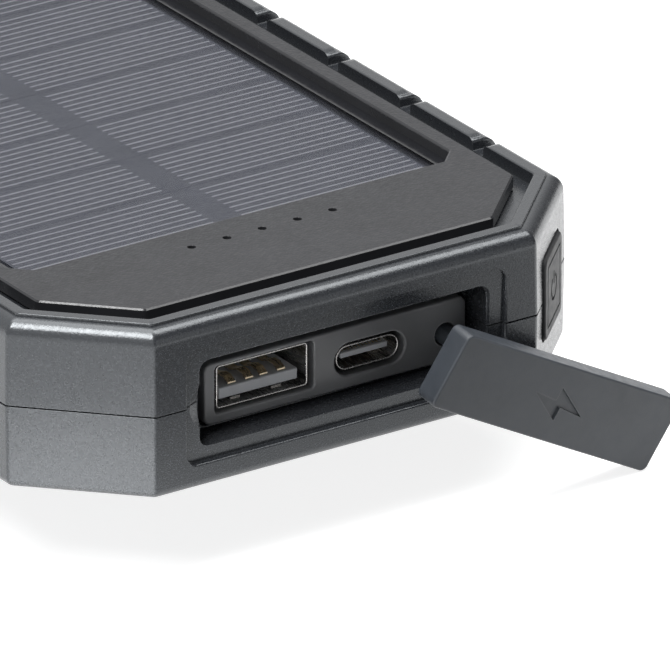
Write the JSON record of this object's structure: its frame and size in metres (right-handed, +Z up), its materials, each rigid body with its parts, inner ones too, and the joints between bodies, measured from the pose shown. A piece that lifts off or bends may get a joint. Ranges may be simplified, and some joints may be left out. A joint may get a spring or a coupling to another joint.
{
  "type": "solar phone charger",
  "caption": "Octagonal power bank with a solar panel in its top, notched side rails, USB ports behind a pull-out rubber cover and a corner button.",
  "frame": {"origin": "centre of the flat bottom of the case", "axes": "+X across the width to the button's side, +Y along the length from the port end to the back, +Z up through the solar panel"},
  "size_m": [0.0845, 0.1709, 0.0333],
  "materials": {
    "case_plastic": "finely spark-textured moulding, satin",
    "button_plastic": "satin moulding",
    "plate_plastic": "fine leather-like grain",
    "port_plastic": "matt moulding",
    "soft_rubber": "smooth matt silicone rubber",
    "port_steel": "drawn sheet steel, plated",
    "screw_steel": "zinc plated",
    "gold_plate": "gold plated",
    "tongue_plastic": "light grey moulding",
    "silicon": "blue-grey silicon with fine silver lines",
    "clear_film": "clear glossy laminate",
    "circuit_board": "green solder mask",
    "panel_backing": "black laminate",
    "clear_plastic": "clear moulding",
    "lamp": "clear lens",
    "chip": "black moulding compound",
    "ferrite": "ferrite block",
    "capacitor_can": "aluminium can",
    "pouch": "foil pouch",
    "foam": "closed-cell foam",
    "red_lead": "insulated wire",
    "black_lead": "insulated wire"
  },
  "bodies": {
    "housing": {"battery_lead_black": "black_lead", "battery_lead_red": "red_lead", "battery_lower": "pouch", "battery_pad": "foam", "battery_upper": "pouch", "capacitor_1": "capacitor_can", "capacitor_2": "capacitor_can", "case_screw_1": "screw_steel", "case_screw_2": "screw_steel", "case_screw_3": "screw_steel", "case_screw_4": "screw_steel", "charge_controller": "chip", "charge_light_1": "lamp", "charge_light_2": "lamp", "charge_light_3": "lamp", "charge_light_4": "lamp", "charge_light_5": "lamp", "face_plate": "plate_plastic", "inductor": "ferrite", "light_guide": "clear_plastic", "lower_shell": "case_plastic", "main_board": "circuit_board", "panel_board": "panel_backing", "panel_film": "clear_film", "panel_lead_black": "black_lead", "panel_lead_red": "red_lead", "port_plate": "port_plastic", "solar_cell_01": "silicon", "solar_cell_02": "silicon", "solar_cell_03": "silicon", "solar_cell_04": "silicon", "solar_cell_05": "silicon", "solar_cell_06": "silicon", "solar_cell_07": "silicon", "solar_cell_08": "silicon", "solar_cell_09": "silicon", "solar_cell_10": "silicon", "tact_switch": "chip", "upper_shell": "case_plastic", "usb_a_contact_1": "gold_plate", "usb_a_contact_2": "gold_plate", "usb_a_contact_3": "gold_plate", "usb_a_contact_4": "gold_plate", "usb_a_shell": "port_steel", "usb_a_tongue": "tongue_plastic", "usb_c_shell": "port_steel", "usb_c_tongue": "chip"},
    "cover_stem": {"cover_stem": "soft_rubber"},
    "port_cover": {"port_cover": "soft_rubber"},
    "power_button": {"power_button": "button_plastic", "switch_plunger": "chip"}
  },
  "joints": [
    {"name": "button_press", "type": "slide", "parent": "housing", "child": "power_button", "axis": [-0.7071, 0.7071, 0], "range_m": [0, 0.0005], "stiffness_N_per_m": 1500},
    {"name": "cover_pull", "type": "slide", "parent": "housing", "child": "cover_stem", "axis": [-0.0423, 0.9967, 0.0691], "range_m": [0, 0.002]},
    {"name": "cover_turn", "type": "hinge", "parent": "cover_stem", "child": "port_cover", "pos_m": [0.01408, -0.08497, 0.00952], "axis": [-0.0423, 0.9967, 0.0691], "range_deg": [-90, 151]}
  ]
}
